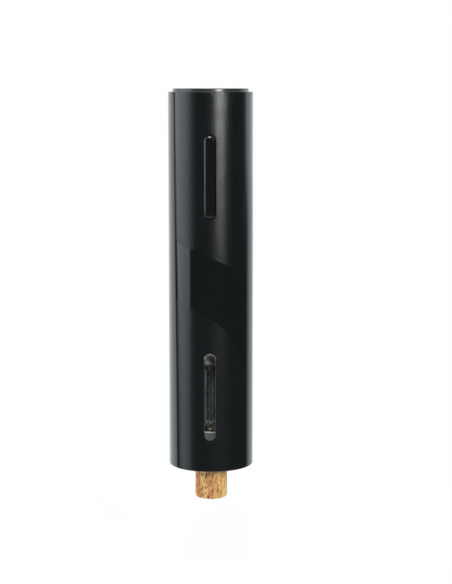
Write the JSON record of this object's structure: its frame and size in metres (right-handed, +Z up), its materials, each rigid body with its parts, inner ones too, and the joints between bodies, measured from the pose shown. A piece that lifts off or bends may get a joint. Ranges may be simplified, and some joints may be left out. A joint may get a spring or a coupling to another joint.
{
  "type": "electric wine opener",
  "caption": "Slim cylindrical electric corkscrew with a rocker button, a sight window, a geared motor drive and a cork held in its mouth.",
  "frame": {"origin": "on the barrel's axis, in the plane of the foot rim; the cork hangs below it", "axes": "+Z up the barrel's axis, towards the cap; the button and the window face -Y; +X is to the right seen from the front"},
  "size_m": [0.05, 0.05, 0.2441],
  "materials": {
    "barrel_black": "satin moulded skin with a fine grain above and a gloss band across the middle",
    "cap_black": "satin, slightly warm",
    "rim_grey": "polished, so that its edges catch the light",
    "frame_black": "glass-filled, dull",
    "button_black": "polished",
    "soft_black": "soft, dull",
    "clear_pane": "polished clear plastic",
    "clear_sleeve": "moulded clear plastic",
    "cork": "natural cork with dark pores",
    "worm_coat": "slippery dark coat, bare at the point",
    "bright_steel": "ground",
    "plated_steel": "zinc plated",
    "lamination_steel": "stacked sheets",
    "magnet": "sintered, grey",
    "copper": "enamelled wire",
    "carbon": "pressed carbon on brass",
    "bronze": "sintered, oiled",
    "acetal_white": "slippery, slightly translucent",
    "nylon_grey": "greased",
    "gear_steel": "sintered, oiled",
    "cell_wrap": "shrunk film",
    "nickel": "rolled strip",
    "board_green": "solder mask",
    "chip_black": "moulded epoxy",
    "switch_grey": "moulded",
    "port_steel": "drawn, nickel plated",
    "led_milk": "milky light pipe",
    "lead_red": "insulated wire"
  },
  "bodies": {
    "housing": {"barrel_shell": "barrel_black", "top_cap": "cap_black", "foot_ring": "frame_black", "lip_cushion": "soft_black", "window_gasket": "rim_grey", "window_lens": "clear_pane", "chamber_sleeve": "clear_sleeve", "guide_tube": "acetal_white", "thrust_washer": "acetal_white", "gearbox_base": "nylon_grey", "output_bearing": "bronze", "ring_gear": "nylon_grey", "motor_plate": "plated_steel", "gearbox_screws": "plated_steel", "motor_screws": "plated_steel", "motor_can": "plated_steel", "motor_bushes": "bronze", "motor_magnets": "magnet", "motor_end_cap": "acetal_white", "motor_brushes": "carbon", "battery_cells": "cell_wrap", "battery_holder": "frame_black", "cell_strips": "nickel", "control_board": "board_green", "board_chips": "chip_black", "board_screws": "plated_steel", "tact_switches": "switch_grey", "button_pin": "bright_steel", "button_bracket": "frame_black", "charge_board": "board_green", "usb_port": "port_steel", "status_led": "led_milk", "motor_leads": "lead_red", "battery_leads": "lead_red", "chassis_left": "frame_black", "chassis_right": "frame_black", "chassis_screws": "plated_steel"},
    "rotor": {"motor_shaft": "bright_steel", "armature_core": "lamination_steel", "armature_windings": "copper", "commutator": "copper", "motor_pinion": "gear_steel"},
    "stage_1": {"stage_1_carrier": "acetal_white"},
    "stage_2": {"stage_2_carrier": "acetal_white"},
    "output": {"output_carrier": "gear_steel", "drive_tube": "nylon_grey"},
    "carriage": {"worm_carrier": "acetal_white", "cross_pin": "bright_steel", "worm": "worm_coat"},
    "button": {"button_rocker": "button_black"},
    "cork": {"cork": "cork"},
    "stage_1_planet_a": {"stage_1_planet_a": "acetal_white"},
    "stage_1_planet_b": {"stage_1_planet_b": "acetal_white"},
    "stage_1_planet_c": {"stage_1_planet_c": "acetal_white"},
    "stage_2_planet_a": {"stage_2_planet_a": "acetal_white"},
    "stage_2_planet_b": {"stage_2_planet_b": "acetal_white"},
    "stage_2_planet_c": {"stage_2_planet_c": "acetal_white"},
    "stage_3_planet_a": {"stage_3_planet_a": "gear_steel"},
    "stage_3_planet_b": {"stage_3_planet_b": "gear_steel"},
    "stage_3_planet_c": {"stage_3_planet_c": "gear_steel"}
  },
  "joints": [
    {"name": "motor_spin", "type": "hinge", "parent": "housing", "child": "rotor", "pos_m": [0, 0, 0], "axis": [0, 0, 1], "range_deg": [-180000, 0]},
    {"name": "stage_1_spin", "type": "hinge", "parent": "housing", "child": "stage_1", "pos_m": [0, 0, 0], "axis": [0, 0, 1], "range_deg": [-36000, 0]},
    {"name": "stage_1_planet_a_spin", "type": "hinge", "parent": "stage_1", "child": "stage_1_planet_a", "pos_m": [0.0075, 0, 0], "axis": [0, 0, 1], "range_deg": [0, 96000]},
    {"name": "stage_1_planet_b_spin", "type": "hinge", "parent": "stage_1", "child": "stage_1_planet_b", "pos_m": [-0.00375, 0.0065, 0], "axis": [0, 0, 1], "range_deg": [0, 96000]},
    {"name": "stage_1_planet_c_spin", "type": "hinge", "parent": "stage_1", "child": "stage_1_planet_c", "pos_m": [-0.00375, -0.0065, 0], "axis": [0, 0, 1], "range_deg": [0, 96000]},
    {"name": "stage_2_spin", "type": "hinge", "parent": "housing", "child": "stage_2", "pos_m": [0, 0, 0], "axis": [0, 0, 1], "range_deg": [-7200, 0]},
    {"name": "stage_2_planet_a_spin", "type": "hinge", "parent": "stage_2", "child": "stage_2_planet_a", "pos_m": [0.0075, 0, 0], "axis": [0, 0, 1], "range_deg": [0, 19200]},
    {"name": "stage_2_planet_b_spin", "type": "hinge", "parent": "stage_2", "child": "stage_2_planet_b", "pos_m": [-0.00375, 0.0065, 0], "axis": [0, 0, 1], "range_deg": [0, 19200]},
    {"name": "stage_2_planet_c_spin", "type": "hinge", "parent": "stage_2", "child": "stage_2_planet_c", "pos_m": [-0.00375, -0.0065, 0], "axis": [0, 0, 1], "range_deg": [0, 19200]},
    {"name": "output_spin", "type": "hinge", "parent": "housing", "child": "output", "pos_m": [0, 0, 0], "axis": [0, 0, 1], "range_deg": [-1440, 0]},
    {"name": "stage_3_planet_a_spin", "type": "hinge", "parent": "output", "child": "stage_3_planet_a", "pos_m": [0.0075, 0, 0], "axis": [0, 0, 1], "range_deg": [0, 3840]},
    {"name": "stage_3_planet_b_spin", "type": "hinge", "parent": "output", "child": "stage_3_planet_b", "pos_m": [-0.00375, 0.0065, 0], "axis": [0, 0, 1], "range_deg": [0, 3840]},
    {"name": "stage_3_planet_c_spin", "type": "hinge", "parent": "output", "child": "stage_3_planet_c", "pos_m": [-0.00375, -0.0065, 0], "axis": [0, 0, 1], "range_deg": [0, 3840]},
    {"name": "worm_travel", "type": "slide", "parent": "output", "child": "carriage", "axis": [0, 0, 1], "range_m": [-0.038, 0]},
    {"name": "button_rock", "type": "hinge", "parent": "housing", "child": "button", "pos_m": [0, -0.0196, 0.173], "axis": [1, 0, 0], "range_deg": [-1.4, 1.4], "stiffness_Nm_per_rad": 0.6},
    {"name": "cork_slide", "type": "slide", "parent": "housing", "child": "cork", "axis": [0, 0, 1], "range_m": [-0.05, 0]}
  ],
  "couplings": [
    {"joint": "motor_spin", "follows": "worm_travel", "rad_per_m": 82673},
    {"joint": "stage_1_spin", "follows": "worm_travel", "rad_per_m": 16535},
    {"joint": "stage_1_planet_a_spin", "follows": "worm_travel", "rad_per_m": -44093},
    {"joint": "stage_1_planet_b_spin", "follows": "worm_travel", "rad_per_m": -44093},
    {"joint": "stage_1_planet_c_spin", "follows": "worm_travel", "rad_per_m": -44093},
    {"joint": "stage_2_spin", "follows": "worm_travel", "rad_per_m": 3306.9},
    {"joint": "stage_2_planet_a_spin", "follows": "worm_travel", "rad_per_m": -8818.5},
    {"joint": "stage_2_planet_b_spin", "follows": "worm_travel", "rad_per_m": -8818.5},
    {"joint": "stage_2_planet_c_spin", "follows": "worm_travel", "rad_per_m": -8818.5},
    {"joint": "output_spin", "follows": "worm_travel", "rad_per_m": 661.39},
    {"joint": "stage_3_planet_a_spin", "follows": "worm_travel", "rad_per_m": -1763.7},
    {"joint": "stage_3_planet_b_spin", "follows": "worm_travel", "rad_per_m": -1763.7},
    {"joint": "stage_3_planet_c_spin", "follows": "worm_travel", "rad_per_m": -1763.7}
  ]
}
